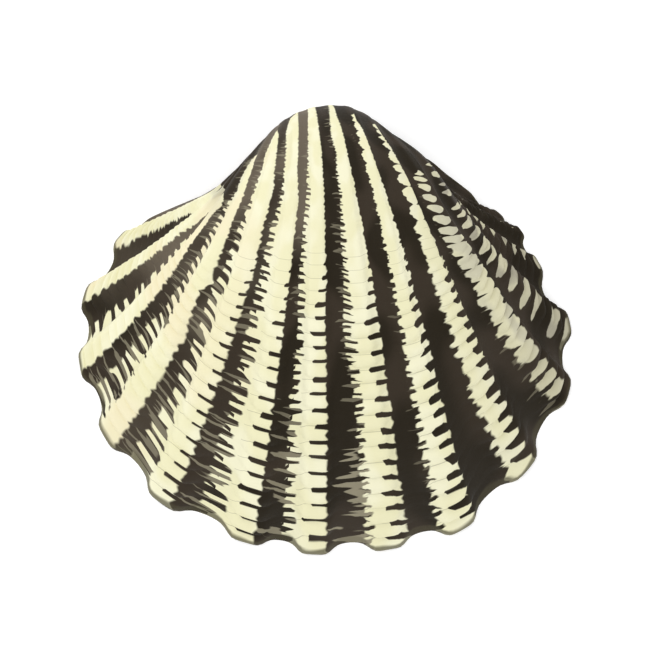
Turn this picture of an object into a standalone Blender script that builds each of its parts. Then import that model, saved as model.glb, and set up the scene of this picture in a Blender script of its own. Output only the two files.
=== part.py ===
"""One half (valve) of a cardita shell, lying on its margin with the ribbed outside up.

A valve grows from its beak. Each earlier margin is a smaller copy of the last one, turned up
about the hinge line, so the outside is drawn as one closed margin that is extruded again and
again: turned about the hinge line and shrunk towards the beak. The inside is made in the same
way from a second, inner margin, and both meet in a flat rim that the valve rests on.

Metres, +Z up. The valve is long along X, its beak points to +Y, and it rests on Z = 0.
"""
import math

import bmesh
import bpy
from mathutils import Matrix, Vector

MM = 0.001

# Tips of the ribs on the margin, in millimetres from the beak, from the front end of the
# hinge line round the lower edge to its back end.
RIB_TIPS = [
    (-17.3, -6.7), (-20.2, -11.6), (-20.5, -17.2), (-18.5, -23.0), (-13.9, -28.4),
    (-7.0, -31.6), (-1.4, -32.6), (4.7, -32.2), (10.7, -30.6), (16.1, -25.6),
    (19.4, -19.4), (19.5, -13.8), (17.0, -8.9), (15.6, -6.2), (13.8, -4.8),
]
# The smooth upper edge, from the back end past the beak to the front end.
UPPER_EDGE = [
    (11.7, -3.2), (9.6, -1.6), (7.5, -0.1), (4.9, -0.3), (2.1, -0.5),
    (-0.7, -0.7), (-3.7, -1.2), (-7.4, -2.1), (-12.1, -3.9), (-15.2, -5.3),
]
UPPER_COLUMNS = 12
# How far along the margin, in stations, its direction is measured.
DIRECTION_STEP = 0.05

# Growth: how fast the valve gets smaller towards the beak, how its hinge line lies, and the
# turns, in degrees, where the rows end and the beak is rounded.
SHRINK_PER_RADIAN = 0.713
HINGE_SLANT = math.radians(3.6)
HINGE_LINE = Vector((math.cos(HINGE_SLANT), math.sin(HINGE_SLANT), 0.0))
FULL_TURN = 168.0
BEAK_ROUNDS_FROM = 125.0
BEAK_ROUNDS_TO = 170.0
BEAK_CENTRE = Vector((-0.5, -5.0, 0.0)) * MM
EARLY_BANDS = 12
EARLY_SPACING = 1.25

# Ribs: height against their spacing, and the section of one from groove to groove.
RIB_HEIGHT_SHARE = 0.16
RIB_HEIGHT_LIMIT = 1.0 * MM
RIB_SECTION = [(-0.5, 0.0), (-0.32, 0.2), (-0.2, 0.85), (0.0, 1.0), (0.2, 0.85), (0.32, 0.2)]

# Nodules: one scale on each rib for each step of growth near the margin, its height against
# the rib's, and how many of them fade out towards the beak.
NODULE_TURN = 2.9
NODULES = 14
NODULE_PEAK_AT = 0.35
NODULE_HEIGHT_SHARE = 0.32
NODULES_FADING = 5

# The back slope is fuller between the beak and the last ribs.
SWELL_HEIGHT = 0.85 * MM
SWELL_TURNS = (30.0, 150.0)
SWELL_RIB = 11.5
SWELL_RIBS_EACH_WAY = 4.0

# The wall: width of the flat rim, of the hinge plate, and the closing of the hollow.
RIM_WIDTH = 2.4 * MM
HINGE_PLATE_WIDTH = 3.9 * MM
HINGE_PLATE_FROM = -12.0 * MM
HINGE_PLATE_FULL = -5.0 * MM
HOLLOW_CENTRE = Vector((0.0, -14.0, 0.0)) * MM
HOLLOW_TURNS = [6.0, 14.0, 24.0, 35.0, 46.0, 57.0, 68.0, 78.0, 87.0, 94.0]
HOLLOW_ENDS_AT = 100.0
HOLLOW_FULLNESS = 3.0
INNER_FLUTE_SHARE = 0.55
INNER_FLUTE_TURN = 14.0

# Sockets in the hinge plate: name, centre, half sizes and slant.
SOCKETS = [
    ("front_socket", (-2.6, -3.0), (1.5, 0.75, 0.9), -38.0),
    ("middle_socket", (1.2, -2.8), (1.7, 0.6, 0.9), 18.0),
    ("ligament_groove", (7.3, -2.7), (3.0, 0.45, 0.7), -30.0),
]
SOCKET_RINGS = 8
SOCKET_SEGMENTS = 16

SHELL_COLOUR = (0.80, 0.74, 0.55, 1.0)
SHELL_ROUGHNESS = 0.55
SHARP_EDGE = math.radians(50.0)

RIB_COUNT = len(RIB_TIPS)
CONTROLS = [Vector((x, y, 0.0)) * MM for x, y in RIB_TIPS + UPPER_EDGE]


def clear_scene():
    """Remove what the scene starts with."""
    for thing in list(bpy.data.objects):
        bpy.data.objects.remove(thing, do_unlink=True)


def smooth_step(low, high, value):
    """Go smoothly from 0 at low to 1 at high."""
    share = min(max((value - low) / (high - low), 0.0), 1.0)
    return share * share * (3.0 - 2.0 * share)


def margin_point(station):
    """Point of the margin's outer curve: whole stations are rib tips and upper edge points."""
    count = len(CONTROLS)
    start = math.floor(station)
    t = station - start
    before, here, after, beyond = (CONTROLS[(start + step) % count] for step in (-1, 0, 1, 2))
    straight = (after - before) * t
    bend = (before * 2.0 - here * 5.0 + after * 4.0 - beyond) * t ** 2
    twist = (here * 3.0 - before - after * 3.0 + beyond) * t ** 3
    return (here * 2.0 + straight + bend + twist) * 0.5


def margin_outward(station):
    """Direction out of the shell at a point of the margin, in the margin's plane."""
    along = margin_point(station + DIRECTION_STEP) - margin_point(station - DIRECTION_STEP)
    return Vector((along.y, -along.x, 0.0)).normalized()


def margin_normal(station):
    """Direction square to the outside where it leaves the margin."""
    here = margin_point(station)
    growing = here * -SHRINK_PER_RADIAN - HINGE_LINE.cross(here)
    outward = margin_outward(station)
    along = Vector((-outward.y, outward.x, 0.0))
    return along.cross(growing).normalized()


def make_columns():
    """List the lines that run from the margin to the beak: station, rib height, rib section."""
    columns = []
    for rib in range(RIB_COUNT):
        behind = (margin_point(rib) - margin_point(rib - 1)).length
        ahead = (margin_point(rib + 1) - margin_point(rib)).length
        for offset, section in RIB_SECTION:
            spacing = behind if offset < 0.0 else ahead
            height = min(spacing * RIB_HEIGHT_SHARE, RIB_HEIGHT_LIMIT)
            columns.append((rib + offset, height, section))
    upper_start = RIB_COUNT - 0.5
    for index in range(UPPER_COLUMNS):
        station = upper_start + len(UPPER_EDGE) * index / UPPER_COLUMNS
        columns.append((station, 0.0, 1.0))
    return columns


def outer_rows():
    """List the turns of the outer growth rows, with each row's share of nodule height."""
    rows = [(0.0, 0.0)]
    for nodule in range(NODULES):
        fading = min((NODULES - nodule) / NODULES_FADING, 1.0)
        rows.append(((nodule + NODULE_PEAK_AT) * NODULE_TURN, fading))
        rows.append(((nodule + 1.0) * NODULE_TURN, 0.0))
    ribbed_turn = NODULES * NODULE_TURN
    for band in range(1, EARLY_BANDS + 1):
        share = (band / EARLY_BANDS) ** EARLY_SPACING
        rows.append((ribbed_turn + (FULL_TURN - ribbed_turn) * share, 0.0))
    return rows


def growth(turn):
    """Matrix that carries the margin's plane to its place at an earlier turn, in degrees."""
    angle = math.radians(turn)
    size = math.exp(-SHRINK_PER_RADIAN * angle)
    return Matrix.Rotation(-angle, 4, HINGE_LINE) @ Matrix.Scale(size, 4)


def drawn_in(centre, share):
    """Matrix that draws a margin in towards a point of its own plane."""
    return Matrix.Translation(centre) @ Matrix.Scale(share, 4) @ Matrix.Translation(-centre)


def outer_place(turn):
    """Place of an outer row: its growth, and the rounding of the beak."""
    past = (turn - BEAK_ROUNDS_FROM) / (BEAK_ROUNDS_TO - BEAK_ROUNDS_FROM)
    share = math.sqrt(1.0 - max(past, 0.0) ** 2)
    return growth(turn) @ drawn_in(BEAK_CENTRE, share)


def inner_place(turn):
    """Place of an inner row: its growth, and the closing of the hollow under the beak."""
    share = (1.0 - (turn / HOLLOW_ENDS_AT) ** HOLLOW_FULLNESS) ** (1.0 / HOLLOW_FULLNESS)
    return growth(turn) @ drawn_in(HOLLOW_CENTRE, share)


def draw_ring(mesh, points, column_of):
    """Draw a closed ring of edges and number its vertices as columns."""
    ring = [mesh.verts.new(point) for point in points]
    for column, vertex in enumerate(ring):
        vertex[column_of] = column
    edges = [mesh.edges.new((ring[index - 1], ring[index])) for index in range(len(ring))]
    return ring, edges


def extrude_rows(mesh, ring, edges, places, column_of):
    """Extrude a ring from place to place and return the vertices of every row."""
    rows = [ring]
    for earlier, later in zip(places, places[1:]):
        grown = bmesh.ops.extrude_edge_only(mesh, edges=edges)["geom"]
        vertices = [item for item in grown if isinstance(item, bmesh.types.BMVert)]
        edges = [item for item in grown if isinstance(item, bmesh.types.BMEdge)]
        bmesh.ops.transform(mesh, matrix=later @ earlier.inverted(), verts=vertices)
        rows.append(sorted(vertices, key=lambda vertex: vertex[column_of]))
    return rows


def close_row(mesh, row):
    """Close the last row of a surface with faces that meet in its middle."""
    lid = mesh.faces.new(row)
    bmesh.ops.poke(mesh, faces=[lid])


def swell(station, turn):
    """Height of the fuller back slope at a place."""
    start, end = SWELL_TURNS
    along = min(max((turn - start) / (end - start), 0.0), 1.0)
    across = min(abs(station - SWELL_RIB) / SWELL_RIBS_EACH_WAY, 1.0)
    return SWELL_HEIGHT * math.sin(math.pi * along) ** 2 * math.cos(math.pi / 2 * across) ** 2


def make_outside(mesh, columns, column_of):
    """Model the ribbed outside and return its margin."""
    points = []
    for station, height, section in columns:
        groove = height * (1.0 - section)
        points.append(margin_point(station) - margin_outward(station) * groove)
    ring, edges = draw_ring(mesh, points, column_of)
    turns = outer_rows()
    places = [outer_place(turn) for turn, _ in turns]
    rows = extrude_rows(mesh, ring, edges, places, column_of)
    for row, place, (turn, nodule) in zip(rows, places, turns):
        for vertex, (station, height, section) in zip(row, columns):
            raised = place.to_3x3() @ margin_normal(station)
            vertex.co += raised * (height * section * NODULE_HEIGHT_SHARE * nodule)
            vertex.co += raised.normalized() * swell(station, turn)
    close_row(mesh, rows[-1])
    return ring


def make_inside(mesh, columns, column_of):
    """Model the smooth hollow, fluted at its edge, and return its margin."""
    points = []
    for station, _, _ in columns:
        outer = margin_point(station)
        on_plate = smooth_step(HINGE_PLATE_FROM, HINGE_PLATE_FULL, outer.y)
        width = RIM_WIDTH + (HINGE_PLATE_WIDTH - RIM_WIDTH) * on_plate
        from_centre = outer - HOLLOW_CENTRE
        points.append(outer - from_centre.normalized() * width)
    ring, edges = draw_ring(mesh, points, column_of)
    turns = [0.0] + HOLLOW_TURNS
    places = [inner_place(turn) for turn in turns]
    rows = extrude_rows(mesh, ring, edges, places, column_of)
    for row, place, turn in zip(rows, places, turns):
        fluting = INNER_FLUTE_SHARE * (1.0 - smooth_step(0.0, INNER_FLUTE_TURN, turn))
        for vertex, (station, height, section) in zip(row, columns):
            outward = place.to_3x3() @ margin_outward(station)
            vertex.co -= outward * (height * (1.0 - section) * fluting)
    close_row(mesh, rows[-1])
    return ring


def make_rim(mesh, outer_ring, inner_ring):
    """Join both margins: two outer edges for each inner one."""
    outer_count = len(outer_ring)
    inner_count = len(inner_ring)
    for index in range(inner_count):
        first = outer_ring[2 * index]
        middle = outer_ring[2 * index + 1]
        last = outer_ring[(2 * index + 2) % outer_count]
        mesh.faces.new((first, inner_ring[index], middle))
        mesh.faces.new((middle, inner_ring[index], inner_ring[(index + 1) % inner_count]))
        mesh.faces.new((middle, inner_ring[(index + 1) % inner_count], last))


def stand_on_middle(mesh):
    """Put the origin under the middle of the valve, on the plane that it rests on."""
    spans = [[vertex.co[axis] for vertex in mesh.verts] for axis in range(3)]
    middle_x, middle_y, _ = (0.5 * (min(span) + max(span)) for span in spans)
    shift = Vector((-middle_x, -middle_y, -min(spans[2])))
    bmesh.ops.translate(mesh, vec=shift, verts=mesh.verts)
    return shift


def make_material():
    """Make the shell's own material."""
    material = bpy.data.materials.new("shell")
    material.use_nodes = True
    surface = material.node_tree.nodes["Principled BSDF"]
    surface.inputs["Base Color"].default_value = SHELL_COLOUR
    surface.inputs["Roughness"].default_value = SHELL_ROUGHNESS
    surface.inputs["Metallic"].default_value = 0.0
    return material


def make_valve():
    """Model the valve without its sockets; return it and where its beak has gone."""
    mesh = bmesh.new()
    column_of = mesh.verts.layers.int.new("column")
    columns = make_columns()
    outer_ring = make_outside(mesh, columns, column_of)
    inner_ring = make_inside(mesh, columns[::2], column_of)
    make_rim(mesh, outer_ring, inner_ring)
    bmesh.ops.recalc_face_normals(mesh, faces=mesh.faces)
    bmesh.ops.triangulate(mesh, faces=mesh.faces)
    beak = stand_on_middle(mesh)
    data = bpy.data.meshes.new("valve")
    mesh.to_mesh(data)
    mesh.free()
    data.shade_smooth()
    data.set_sharp_from_angle(angle=SHARP_EDGE)
    data.materials.append(make_material())
    valve = bpy.data.objects.new("valve", data)
    bpy.context.collection.objects.link(valve)
    return valve, beak


def cut_sockets(valve, beak):
    """Sink the hinge's sockets into the hinge plate."""
    for name, (x, y), half_sizes, slant in SOCKETS:
        shape = bmesh.new()
        bmesh.ops.create_uvsphere(
            shape, u_segments=SOCKET_SEGMENTS, v_segments=SOCKET_RINGS, radius=1.0
        )
        bmesh.ops.scale(shape, vec=Vector(half_sizes) * MM, verts=shape.verts)
        data = bpy.data.meshes.new(name)
        shape.to_mesh(data)
        shape.free()
        cutter = bpy.data.objects.new(name, data)
        cutter.location = beak + Vector((x, y, 0.0)) * MM
        cutter.rotation_euler = (0.0, 0.0, math.radians(slant))
        cutter.hide_render = True
        cutter.display_type = "WIRE"
        bpy.context.collection.objects.link(cutter)
        cut = valve.modifiers.new(name, "BOOLEAN")
        cut.operation = "DIFFERENCE"
        cut.solver = "EXACT"
        cut.object = cutter


def main():
    clear_scene()
    valve, beak = make_valve()
    cut_sockets(valve, beak)
    print("beak at", tuple(round(value / MM, 3) for value in beak), "mm")


main()
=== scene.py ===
# %% [markdown]
# # A cardita shell, modelled the way it grew
# This lesson dresses one half (one valve) of a cardita, a small thick-shelled sea bivalve with
# strong knobbly ribs. The valve lies on its edge with the outside up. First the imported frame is
# loaded: it holds the plain solid that the finished piece has to match in place and size.

# %% Load the frame
import math

import bmesh
import bpy
import numpy as np
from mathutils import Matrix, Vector


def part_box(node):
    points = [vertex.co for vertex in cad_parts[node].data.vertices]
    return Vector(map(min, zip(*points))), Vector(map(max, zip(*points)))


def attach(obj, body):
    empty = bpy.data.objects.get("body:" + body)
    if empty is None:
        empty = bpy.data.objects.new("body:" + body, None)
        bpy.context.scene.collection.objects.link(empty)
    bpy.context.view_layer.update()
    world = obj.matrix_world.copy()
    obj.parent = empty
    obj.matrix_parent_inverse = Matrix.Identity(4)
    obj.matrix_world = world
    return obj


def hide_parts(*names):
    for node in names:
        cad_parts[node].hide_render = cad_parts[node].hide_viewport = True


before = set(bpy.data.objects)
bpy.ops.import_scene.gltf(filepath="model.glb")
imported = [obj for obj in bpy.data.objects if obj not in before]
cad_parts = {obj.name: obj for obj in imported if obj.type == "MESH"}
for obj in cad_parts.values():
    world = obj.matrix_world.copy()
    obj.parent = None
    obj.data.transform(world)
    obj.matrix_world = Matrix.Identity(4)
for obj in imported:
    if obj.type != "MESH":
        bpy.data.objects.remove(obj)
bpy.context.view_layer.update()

MM = 0.001
cad_low, cad_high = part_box("valve")
print("solid valve, mm:", [round(value / MM, 2) for value in cad_high - cad_low])

# %% [markdown]
# ## The edge of the shell
# A valve is made by a fold of skin along its edge, so the edge is the one curve that everything
# else follows. It is drawn here through the tips of the fifteen ribs and a few points of the smooth
# upper edge, in millimetres from the beak (the oldest point, at the top). A station counts along
# it: 0 to 14 are the ribs from the front round to the back, and 15 to 24 lie on the upper edge. A
# Bezier curve could hold the same shape, but a formula can also be asked for in-between ribs.

# %% Draw the edge
RIB_TIPS = [
    (-17.3, -6.7), (-20.2, -11.6), (-20.5, -17.2), (-18.5, -23.0), (-13.9, -28.4),
    (-7.0, -31.6), (-1.4, -32.6), (4.7, -32.2), (10.7, -30.6), (16.1, -25.6),
    (19.4, -19.4), (19.5, -13.8), (17.0, -8.9), (15.6, -6.2), (13.8, -4.8),
]
UPPER_EDGE = [
    (11.7, -3.2), (9.6, -1.6), (7.5, -0.1), (4.9, -0.3), (2.1, -0.5),
    (-0.7, -0.7), (-3.7, -1.2), (-7.4, -2.1), (-12.1, -3.9), (-15.2, -5.3),
]
HINGE_SLANT = math.radians(3.6)
RIBS = len(RIB_TIPS)
STATIONS_ROUND = len(RIB_TIPS + UPPER_EDGE)
DIRECTION_STEP = 0.05


def level_with_hinge(points):
    """Turn points of the picture's plane so that the hinge line runs along X; give metres."""
    cosine, sine = math.cos(HINGE_SLANT), math.sin(HINGE_SLANT)
    points = np.array(points, float) * MM
    x = points[:, 0] * cosine + points[:, 1] * sine
    y = points[:, 1] * cosine - points[:, 0] * sine
    return np.column_stack([x, y, np.zeros(len(points))])


EDGE_POINTS = level_with_hinge(RIB_TIPS + UPPER_EDGE)


def edge_curve(station):
    """Points of the edge at an array of stations, on a smooth closed curve."""
    start = np.floor(station).astype(int)
    t = (station - start)[:, None]
    steps = (-1, 0, 1, 2)
    before, here, after, beyond = (EDGE_POINTS[(start + step) % STATIONS_ROUND] for step in steps)
    straight = (after - before) * t
    bend = (before * 2.0 - here * 5.0 + after * 4.0 - beyond) * t ** 2
    twist = (here * 3.0 - before - after * 3.0 + beyond) * t ** 3
    return (here * 2.0 + straight + bend + twist) * 0.5


def unit(vectors):
    """Give vectors a length of one."""
    return vectors / np.linalg.norm(vectors, axis=1, keepdims=True)


def edge_outward(station):
    """Directions out of the shell in the plane of its edge."""
    along = edge_curve(station + DIRECTION_STEP) - edge_curve(station - DIRECTION_STEP)
    return unit(np.column_stack([along[:, 1], -along[:, 0], np.zeros(len(along))]))


print("edge drawn through", STATIONS_ROUND, "points,", RIBS, "of them rib tips")

# %% [markdown]
# ## How it grew
# Each earlier edge is a smaller copy of the present one, turned up about the hinge line. The
# shrinking per turn is always the same, which is why shells are spirals. One function carries
# points back along that growth, and every later step uses it.

# %% Describe the growth
SHRINK_PER_RADIAN = 0.713
HINGE_AXIS = np.array([[1.0, 0.0, 0.0]])


def grown(points, turn):
    """Carry points of the edge's plane back to an earlier turn, in degrees."""
    angle = np.radians(turn)
    size = np.exp(-SHRINK_PER_RADIAN * angle)
    x, y, z = points.T
    cosine, sine = np.cos(angle), np.sin(angle)
    return np.column_stack([x, y * cosine + z * sine, z * cosine - y * sine]) * np.reshape(size, (-1, 1))


def edge_normal(station):
    """Directions square to the outside where it leaves the edge."""
    here = edge_curve(station)
    growing = -SHRINK_PER_RADIAN * here - np.cross(np.repeat(HINGE_AXIS, len(here), 0), here)
    outward = edge_outward(station)
    along = np.column_stack([-outward[:, 1], outward[:, 0], np.zeros(len(here))])
    return unit(np.cross(along, growing))


quarter_turn_size = math.exp(-SHRINK_PER_RADIAN * math.pi / 2.0)
print("a quarter turn back, the shell was", round(quarter_turn_size, 3), "as large")

# %% [markdown]
# ## The ribs across
# The ribs are broad and round-shouldered with narrow flat floors between them. Their height is a
# share of their spacing. The columns of the mesh are laid so that each rib gets the same number,
# and the smooth upper edge, where the hinge is, gets its own.

# %% Lay out the columns
COLUMNS_PER_RIB = 18
UPPER_COLUMNS = 100
RIB_HEIGHT_SHARE = 0.16
RIB_HEIGHT_LIMIT = 1.0 * MM
RIB_HALF_WIDTH = 0.265
RIB_SHOULDER = 6.0
GROOVE_END = 0.7


def smooth_step(low, high, value):
    """Go smoothly from 0 at low to 1 at high."""
    share = np.clip((value - low) / (high - low), 0.0, 1.0)
    return share * share * (3.0 - 2.0 * share)


def nearest_rib(station):
    """The rib that a station belongs to, or the nearest end rib."""
    return np.clip(np.floor(station + 0.5).astype(int), 0, RIBS - 1)


def rib_height(station):
    """Height of the ribs at stations, from the spacing to the ribs on both sides."""
    rib = nearest_rib(station).astype(float)
    crest = edge_curve(rib)
    behind = np.linalg.norm(edge_curve(rib - 1.0) - crest, axis=1)
    ahead = np.linalg.norm(edge_curve(rib + 1.0) - crest, axis=1)
    spacing = behind + (ahead - behind) * smooth_step(-0.5, 0.5, station - rib)
    return np.minimum(spacing * RIB_HEIGHT_SHARE, RIB_HEIGHT_LIMIT)


def rib_section(station):
    """1 on a rib's crest and 0 on the groove's floor; the upper edge has no grooves."""
    off_crest = np.abs(station - np.floor(station + 0.5))
    section = 1.0 / (1.0 + (off_crest / RIB_HALF_WIDTH) ** RIB_SHOULDER)
    past_last = np.minimum(station - (RIBS - 0.5), STATIONS_ROUND - 0.5 - station)
    floor_section = 1.0 / (1.0 + (0.5 / RIB_HALF_WIDTH) ** RIB_SHOULDER)
    fading = floor_section + (1.0 - floor_section) * smooth_step(0.0, GROOVE_END, past_last)
    return np.where(past_last > 0.0, fading, section)


def groove_depth(station):
    """How far the edge is drawn in between its ribs."""
    wrapped = np.where(station > STATIONS_ROUND - 2.0, station - STATIONS_ROUND, station)
    return rib_height(wrapped) * (1.0 - rib_section(station))


ribbed_stations = np.arange(RIBS * COLUMNS_PER_RIB) / COLUMNS_PER_RIB - 0.5
upper_stations = RIBS - 0.5 + len(UPPER_EDGE) * np.arange(UPPER_COLUMNS) / UPPER_COLUMNS
STATIONS = np.concatenate([ribbed_stations, upper_stations])
COLUMNS = len(STATIONS)
EDGE = edge_curve(STATIONS) - edge_outward(STATIONS) * groove_depth(STATIONS)[:, None]
print(COLUMNS, "columns round the shell")

# %% [markdown]
# ## Rings that become rows
# The surface is made as a maker would draw it: a circle is laid on the edge, and its ring of edges
# is extruded again and again. Each vertex carries its column and its row as whole-number
# attributes, so that any later step can find it without guessing.

# %% Helpers for rings
def read_all(items, field, width=1, kind=np.float32):
    """Read one field of all items of a mesh: one number each, or rows of several."""
    values = np.zeros(len(items) * width, kind)
    items.foreach_get(field, values)
    return values.reshape(-1, width) if width > 1 else values


def read_number(piece, name):
    """Read a whole-number attribute of the vertices."""
    return read_all(piece.data.attributes[name].data, "value", kind=np.int32)


def read_places(piece):
    """Read where the vertices are."""
    return read_all(piece.data.vertices, "co", 3).astype(float)


def write_places(piece, places):
    """Move the vertices."""
    piece.data.vertices.foreach_set("co", places.astype(np.float32).ravel())
    piece.data.update()


def select_only(*pieces):
    """Select these pieces and nothing else; the last one becomes the active one."""
    bpy.ops.object.select_all(action="DESELECT")
    for piece in pieces:
        piece.select_set(True)
        bpy.context.view_layer.objects.active = piece


def start_ring(name, points):
    """Add a circle, lay it on a ring of points and open it in edit mode, all selected."""
    select_only()
    bpy.ops.mesh.primitive_circle_add(vertices=len(points), radius=cad_high.x)
    ring = bpy.context.object
    ring.name = name
    ring.data.name = name
    write_places(ring, points)
    columns = ring.data.attributes.new("column", "INT", "POINT")
    columns.data.foreach_set("value", np.arange(len(points), dtype=np.int32))
    ring.data.attributes.new("row", "INT", "POINT")
    bpy.ops.object.mode_set(mode="EDIT")
    bpy.ops.mesh.select_all(action="SELECT")
    return ring


def number_selected_row(piece, row, points=None):
    """Number the ring that has just been extruded, and lay it on a ring of points if one is given."""
    mesh = bmesh.from_edit_mesh(piece.data)
    row_of = mesh.verts.layers.int["row"]
    column_of = mesh.verts.layers.int["column"]
    for vertex in mesh.verts:
        if vertex.select:
            vertex[row_of] = row
            if points is not None:
                vertex.co = points[vertex[column_of]]
    bmesh.update_edit_mesh(piece.data)


# %% [markdown]
# ## A map that follows the growth
# The colours and the knobs follow the ribs and the growth lines, so the piece gets a UV map with
# the same two directions: u runs round the edge from rib to rib, and v runs back from the edge.
# The outside lies above v = 0.5, one full circle of turn for each unit, and the rim and the inside
# lie below it. Unwrapping would give islands with no such meaning.

# %% Write the growth map
GROWTH_MAP = "growth"
FULL_CIRCLE = 360.0


def outside_v(turn):
    """Place of a turn of the outside on the map."""
    return 0.5 + turn / FULL_CIRCLE


def write_growth_map(piece, row_v):
    """Give each corner of each four-sided face its place on the growth map."""
    while piece.data.uv_layers:
        piece.data.uv_layers.remove(piece.data.uv_layers[0])
    growth_map = piece.data.uv_layers.new(name=GROWTH_MAP)
    corner_vertex = read_all(piece.data.loops, "vertex_index", kind=np.int32)
    column = read_number(piece, "column")[corner_vertex].reshape(-1, 4)
    over_seam = (column.max(axis=1) - column.min(axis=1) > COLUMNS // 2)[:, None]
    column = np.where(over_seam & (column == 0), COLUMNS, column)
    column_u = (np.append(STATIONS, STATIONS_ROUND - 0.5) + 0.5) / STATIONS_ROUND
    row = read_number(piece, "row")[corner_vertex].reshape(-1, 4)
    corners = np.stack([column_u[column], np.asarray(row_v)[row]], axis=-1)
    growth_map.data.foreach_set("uv", corners.astype(np.float32).ravel())


# %% [markdown]
# ## One step of growth, repeated
# Along each rib sits a row of knobs: each is one step of growth, a scale that stood up at the edge
# for a while. So one band, a single step wide, is extruded and shaped, and an Array modifier
# repeats it. Its offset is an empty that is shrunk and turned by one step: the array then winds up
# into the shell by itself, which is just what growth does.

# %% Model one band
STEP_TURN = 2.9
KNOBBED_STEPS = 20
LAST_STEP = 58
KNOB_ROWS = [0.0, 0.07, 0.18, 0.33, 0.52, 0.72, 0.88, 1.0]
KNOB_PEAK = 0.36
KNOB_ROUNDNESS = 1.1
KNOB_HEIGHT_SHARE = 0.36
MERGE_WITHIN = 0.0004 * MM
# How near a whole step or station a place has to be to count as on it.
NEARLY = 1e-4


def knob_profile(share):
    """Height of a knob along one step: steep towards the edge, gentle towards the beak."""
    before = 0.5 * share / KNOB_PEAK
    after = 0.5 + 0.5 * (share - KNOB_PEAK) / (1.0 - KNOB_PEAK)
    phase = np.where(share < KNOB_PEAK, before, after)
    return np.abs(np.sin(np.pi * phase)) ** KNOB_ROUNDNESS


def knob_relief(station, turn):
    """How far knobs of full height stand out, as vectors at their turn."""
    share = turn / STEP_TURN
    share = share - np.floor(share + NEARLY)
    height = rib_height(station) * rib_section(station) * KNOB_HEIGHT_SHARE
    height = np.where(station > RIBS - 0.5, 0.0, height) * knob_profile(share)
    return grown(edge_normal(station) * height[:, None], turn)


def shrink_and_turn(turn):
    """Shrink and turn what is selected by a part of a turn about the hinge line."""
    angle = math.radians(turn)
    size = math.exp(-SHRINK_PER_RADIAN * angle)
    bpy.ops.transform.resize(value=(size, size, size), center_override=(0.0, 0.0, 0.0))
    bpy.ops.transform.rotate(value=angle, orient_axis="X", center_override=(0.0, 0.0, 0.0))


def make_band(name, first_turn, shares, copies):
    """Extrude one step of growth and repeat it back towards the beak."""
    piece = start_ring(name, grown(EDGE, first_turn))
    for row in range(1, len(shares)):
        bpy.ops.mesh.extrude_edges_indiv()
        shrink_and_turn(STEP_TURN * (shares[row] - shares[row - 1]))
        number_selected_row(piece, row)
    bpy.ops.object.mode_set(mode="OBJECT")
    write_growth_map(piece, [outside_v(first_turn + STEP_TURN * share) for share in shares])
    if len(shares) > 2:
        turn = STEP_TURN * np.asarray(shares)[read_number(piece, "row")]
        relief = knob_relief(STATIONS[read_number(piece, "column")], turn)
        write_places(piece, read_places(piece) + relief)
    bpy.ops.object.empty_add(location=(0.0, 0.0, 0.0))
    step = bpy.context.object
    step.rotation_euler.x = -math.radians(STEP_TURN)
    step.scale = [math.exp(-SHRINK_PER_RADIAN * math.radians(STEP_TURN))] * 3
    repeat_piece(piece, step, copies)
    bpy.data.objects.remove(step)
    return piece


def repeat_piece(piece, step, copies):
    """Array a piece by the step of an empty and apply it."""
    select_only(piece)
    bpy.ops.object.modifier_add(type="ARRAY")
    array = piece.modifiers[-1]
    array.use_relative_offset = False
    array.use_object_offset = True
    array.offset_object = step
    array.count = copies
    array.use_merge_vertices = True
    array.merge_threshold = MERGE_WITHIN
    array.offset_v = STEP_TURN / FULL_CIRCLE
    bpy.ops.object.modifier_apply(modifier=array.name)


valve = make_band("valve_shell", 0.0, KNOB_ROWS, KNOBBED_STEPS)
early = make_band("early_shell", KNOBBED_STEPS * STEP_TURN, [0.0, 1.0], LAST_STEP - KNOBBED_STEPS)
print("knobbed rows:", len(valve.data.vertices), "vertices; early rows:", len(early.data.vertices))

# %% Check one point against the growth formula
measured = read_places(valve)[:, 2].max()
expected = grown(EDGE, KNOBBED_STEPS * STEP_TURN)[:, 2].max()
print("top of the knobbed rows, mm:", round(measured / MM, 2), "of about", round(expected / MM, 2))

# %% [markdown]
# ## Close the beak, and join both parts
# The oldest shell is a tiny cap. Its last ring is extruded once more and merged to a point, so the
# piece has no open end there. Then both parts become one, and the ring where they meet is merged.

# %% Close and join
def select_where(piece, chosen):
    """Open a piece in edit mode with only the chosen vertices selected."""
    select_only(piece)
    bpy.ops.object.mode_set(mode="EDIT")
    bpy.ops.mesh.select_all(action="DESELECT")
    mesh = bmesh.from_edit_mesh(piece.data)
    for vertex, wanted in zip(mesh.verts, chosen):
        vertex.select = bool(wanted)
    mesh.select_flush(True)
    bmesh.update_edit_mesh(piece.data)


def close_ring():
    """Close the selected ring with faces that meet in its middle."""
    bpy.ops.mesh.extrude_edges_indiv()
    bpy.ops.mesh.merge(type="CENTER")
    bpy.ops.object.mode_set(mode="OBJECT")


def growth_places(piece):
    """Read each vertex's station and turn back from the growth map; inside turns are below 0."""
    corner_vertex = read_all(piece.data.loops, "vertex_index", kind=np.int32)
    place = np.ones((len(piece.data.vertices), 2))
    # Corners of one vertex disagree on the seam and at the tips: the least counts, on every run.
    corners = read_all(piece.data.uv_layers[GROWTH_MAP].data, "uv", 2)
    np.minimum.at(place, corner_vertex, corners)
    return place[:, 0] * STATIONS_ROUND - 0.5, (place[:, 1] - 0.5) * FULL_CIRCLE


_, early_turns = growth_places(early)
select_where(early, early_turns > (LAST_STEP - 0.5) * STEP_TURN)
close_ring()
print("cap closed:", len(early.data.polygons), "faces")

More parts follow.
